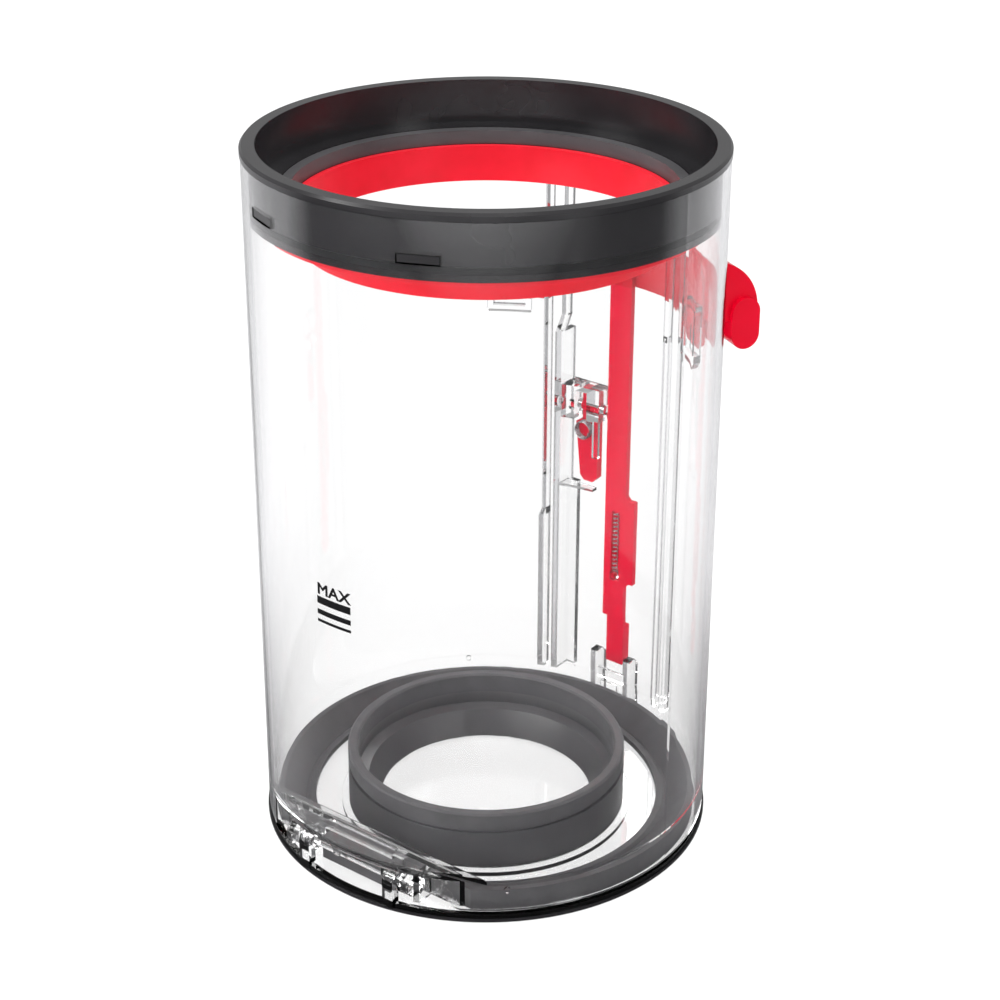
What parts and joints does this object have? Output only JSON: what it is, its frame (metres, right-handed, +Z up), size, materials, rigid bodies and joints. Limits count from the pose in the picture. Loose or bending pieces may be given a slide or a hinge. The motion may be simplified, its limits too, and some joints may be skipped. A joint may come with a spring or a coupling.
{
  "type": "vacuum dust bin",
  "caption": "Clear dust bin for a stick vacuum: tube with a dark mouth collar and red wiper, a sealed hinged base door, and a red lever, rod and catch that empty it.",
  "frame": {"origin": "on the bin's axis, in the plane it stands on", "axes": "+Z up along the bin's axis, -Y towards the door hinge, +Y towards the emptying lever and rod"},
  "size_m": [0.1188, 0.1268, 0.1852],
  "materials": {
    "clear_plastic": "gloss",
    "dark_plastic": "satin",
    "ring_plastic": "satin",
    "black_rubber": "matte",
    "red_silicone": "satin",
    "red_plastic": "gloss",
    "spring_steel": "bright"
  },
  "bodies": {
    "bin": {"bin_tube": "clear_plastic", "collar": "dark_plastic", "collar_seal": "black_rubber", "scraper_ring": "ring_plastic", "scraper": "red_silicone", "rod_spring": "spring_steel", "catch_spring": "spring_steel"},
    "door": {"base_door": "clear_plastic", "door_rim": "dark_plastic", "door_seal": "black_rubber", "inner_collar": "ring_plastic", "inner_collar_lip": "black_rubber"},
    "rod": {"push_rod": "red_plastic", "rod_foot": "red_plastic", "empty_lever": "red_plastic"},
    "catch": {"release_catch": "red_plastic"}
  },
  "joints": [
    {"name": "door_hinge", "type": "hinge", "parent": "bin", "child": "door", "pos_m": [0, -0.0546, 0.0086], "axis": [-1, 0, 0], "range_deg": [0, 90]},
    {"name": "rod_slide", "type": "slide", "parent": "bin", "child": "rod", "axis": [0, 0, -1], "range_m": [0, 0.007], "stiffness_N_per_m": 600, "springref_m": -0.004, "deforming": ["rod_spring"]},
    {"name": "catch_pivot", "type": "hinge", "parent": "bin", "child": "catch", "pos_m": [0, 0.0627, 0.0924], "axis": [-1, 0, 0], "range_deg": [0, 5], "stiffness_Nm_per_rad": 0.02, "springref_deg": -17.19, "deforming": ["catch_spring"]}
  ]
}
